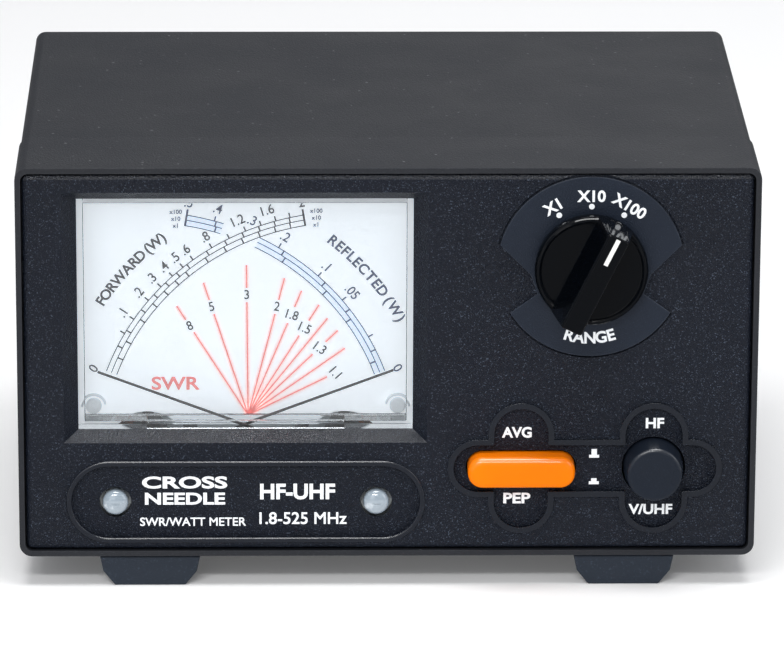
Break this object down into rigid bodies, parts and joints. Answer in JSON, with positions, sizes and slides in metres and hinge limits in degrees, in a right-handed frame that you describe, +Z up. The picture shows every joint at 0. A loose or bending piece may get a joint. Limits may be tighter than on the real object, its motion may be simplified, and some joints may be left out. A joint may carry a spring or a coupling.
{
  "type": "cross-needle swr meter",
  "caption": "Bench cross-needle SWR and power meter in a black case with a lit dial, a range knob, push buttons and coaxial sockets behind.",
  "frame": {"origin": "on the plane of the foot soles, under the middle of the whole object, knob and sockets included", "axes": "+X to the right seen from the front, +Y from the front panel to the back, +Z up"},
  "size_m": [0.1572, 0.1418, 0.0919],
  "materials": {
    "hood_plastic": "fine matt moulded black ABS",
    "textured_plastic": "coarse sparkling sand-textured black ABS",
    "painted_steel": "satin black paint over sheet steel",
    "foot_plastic": "ribbed matt black",
    "black_screw": "black oxide",
    "zinc_steel": "zinc plated",
    "clear_plastic": "clear acrylic",
    "white_plastic": "matt white",
    "pearl_plastic": "polished pearl white",
    "needle_metal": "thin dark paint",
    "copper_wire": "enamelled winding",
    "magnet_steel": "plain steel",
    "knob_plastic": "high gloss black",
    "white_inlay": "white paint fill",
    "orange_plastic": "satin orange",
    "button_plastic": "satin black",
    "switch_plastic": "moulded dark grey",
    "circuit_board": "green solder mask",
    "nickel": "nickel plate",
    "ptfe": "white insulator",
    "silver_contact": "silver plated brass"
  },
  "bodies": {
    "case": {"bezel_frame": "hood_plastic", "front_panel": "textured_plastic", "top_cover": "painted_steel", "chassis_tray": "painted_steel", "rear_panel": "painted_steel", "foot_front_left": "foot_plastic", "foot_screw_front_left": "black_screw", "cover_screw_front_left": "black_screw", "foot_front_right": "foot_plastic", "foot_screw_front_right": "black_screw", "cover_screw_front_right": "black_screw", "foot_rear_left": "foot_plastic", "foot_screw_rear_left": "black_screw", "cover_screw_rear_left": "black_screw", "foot_rear_right": "foot_plastic", "foot_screw_rear_right": "black_screw", "cover_screw_rear_right": "black_screw", "meter_cover": "clear_plastic", "movement_cover": "white_plastic", "dial_plate": "white_plastic", "dial_screw_left": "white_plastic", "dial_screw_right": "white_plastic", "meter_housing": "white_plastic", "forward_magnet": "magnet_steel", "reflected_magnet": "magnet_steel", "lamp_board": "circuit_board", "switch_board": "circuit_board", "main_board": "circuit_board", "hf_coupler_box": "zinc_steel", "uhf_coupler_box": "zinc_steel", "range_switch_body": "switch_plastic", "avg_pep_switch": "switch_plastic", "band_switch": "switch_plastic", "range_nut": "nickel", "dc_jack": "button_plastic", "socket_hf_input": "nickel", "insulator_hf_input": "ptfe", "contact_hf_input": "silver_contact", "socket_hf_antenna": "nickel", "insulator_hf_antenna": "ptfe", "contact_hf_antenna": "silver_contact", "socket_uhf_input": "nickel", "insulator_uhf_input": "ptfe", "contact_uhf_input": "silver_contact", "socket_uhf_antenna": "nickel", "insulator_uhf_antenna": "ptfe", "contact_uhf_antenna": "silver_contact"},
    "range_selector": {"range_knob": "knob_plastic", "range_pointer_line": "white_inlay", "range_shaft": "zinc_steel"},
    "avg_pep_key": {"avg_pep_button": "orange_plastic", "avg_pep_plunger": "white_plastic"},
    "band_key": {"band_button": "button_plastic", "band_plunger": "white_plastic"},
    "forward_pointer": {"forward_needle": "needle_metal", "forward_coil": "copper_wire"},
    "reflected_pointer": {"reflected_needle": "needle_metal", "reflected_coil": "copper_wire"},
    "left_zero_screw": {"zero_adjuster_left": "pearl_plastic"},
    "right_zero_screw": {"zero_adjuster_right": "pearl_plastic"}
  },
  "joints": [
    {"name": "range_turn", "type": "hinge", "parent": "case", "child": "range_selector", "pos_m": [0.0422, -0.0564, 0.0705], "axis": [0, 1, 0], "range_deg": [-57, 5]},
    {"name": "avg_pep_push", "type": "slide", "parent": "case", "child": "avg_pep_key", "axis": [0, 1, 0], "range_m": [0, 0.003], "stiffness_N_per_m": 300, "springref_m": -0.003},
    {"name": "band_push", "type": "slide", "parent": "case", "child": "band_key", "axis": [0, 1, 0], "range_m": [0, 0.003], "stiffness_N_per_m": 300, "springref_m": -0.003},
    {"name": "forward_swing", "type": "hinge", "parent": "case", "child": "forward_pointer", "pos_m": [-0.00895, -0.0494, 0.026], "axis": [0, 1, 0], "range_deg": [0, 60], "stiffness_Nm_per_rad": 0.00002, "springref_deg": -11.46},
    {"name": "reflected_swing", "type": "hinge", "parent": "case", "child": "reflected_pointer", "pos_m": [-0.05065, -0.0494, 0.026], "axis": [0, -1, 0], "range_deg": [0, 60], "stiffness_Nm_per_rad": 0.00002, "springref_deg": -11.46},
    {"name": "left_zero_turn", "type": "hinge", "parent": "case", "child": "left_zero_screw", "pos_m": [-0.05725, -0.0544, 0.0186], "axis": [0, 1, 0], "range_deg": [-60, 60]},
    {"name": "right_zero_turn", "type": "hinge", "parent": "case", "child": "right_zero_screw", "pos_m": [-0.00235, -0.0544, 0.0186], "axis": [0, 1, 0], "range_deg": [-60, 60]}
  ]
}
